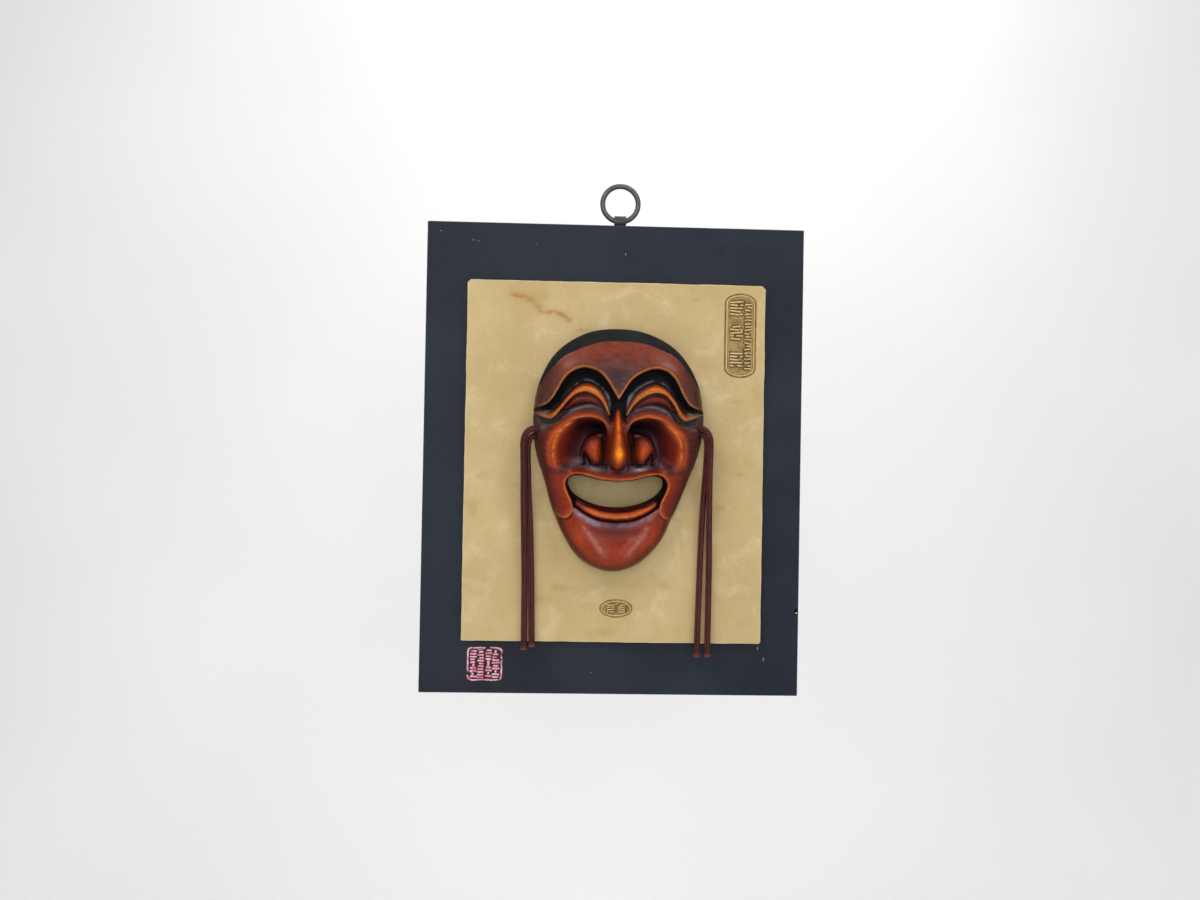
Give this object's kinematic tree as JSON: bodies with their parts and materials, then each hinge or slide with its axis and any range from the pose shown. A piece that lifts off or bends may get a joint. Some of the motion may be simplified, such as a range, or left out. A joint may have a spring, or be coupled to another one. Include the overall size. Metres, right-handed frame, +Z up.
{
  "type": "theatre mask wall plaque",
  "caption": "Wall plaque: a hollow cast theatre mask with a laughing face and hanging braided cords on a tan panel, fixed to a black board with a swinging hanging ring.",
  "frame": {"origin": "the point on the inside top of the hanging ring where the nail or hook bears", "axes": "+Z up, -Y towards the viewer (the front), +X to the viewer's right"},
  "size_m": [0.2, 0.0429, 0.2717],
  "materials": {
    "black_paint": "satin black paint on fibreboard",
    "cast_panel": "matt cast stone and resin, stained",
    "mask_lacquer": "antiqued and lacquered cast resin",
    "maroon_cord": "braided rayon",
    "blacked_steel": "blackened steel"
  },
  "bodies": {
    "plaque": {"board": "black_paint", "panel": "cast_panel", "mask": "mask_lacquer", "ring_strap": "blacked_steel", "strap_screw": "blacked_steel", "cord_left_outer": "maroon_cord", "cord_left_inner": "maroon_cord", "cord_right_outer": "maroon_cord", "cord_right_inner": "maroon_cord"},
    "ring": {"hanging_ring": "blacked_steel"}
  },
  "joints": [
    {"name": "ring_swing", "type": "hinge", "parent": "plaque", "child": "ring", "pos_m": [0, 0, -0.01767], "axis": [1, 0, 0], "range_deg": [-110, 104]}
  ]
}
